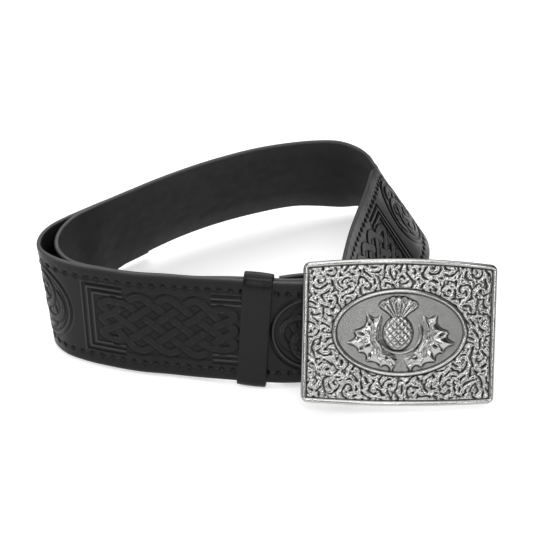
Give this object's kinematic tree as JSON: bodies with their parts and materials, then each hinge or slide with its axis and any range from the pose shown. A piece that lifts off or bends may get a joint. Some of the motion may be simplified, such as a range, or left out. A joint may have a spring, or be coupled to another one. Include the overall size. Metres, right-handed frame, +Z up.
{
  "type": "kilt belt",
  "caption": "Wide black leather belt with an embossed interlace pattern, wound once round on edge, with a keeper and a rectangular thistle plate buckle.",
  "frame": {"origin": "middle of the bounding box's footprint, at the height of its lowest point", "axes": "+Z up across the strap's width, +X from the left bend towards the buckle, +Y from the buckle to the back run"},
  "size_m": [0.226, 0.2104, 0.0727],
  "materials": {
    "strap_leather": "satin black, embossed, with burnished edges",
    "keeper_leather": "smooth satin black",
    "buckle_metal": "antiqued silver with darkened recesses and polished raised edges"
  },
  "bodies": {
    "root": {"strap": "strap_leather", "keeper": "keeper_leather", "buckle": "buckle_metal"}
  },
  "joints": []
}
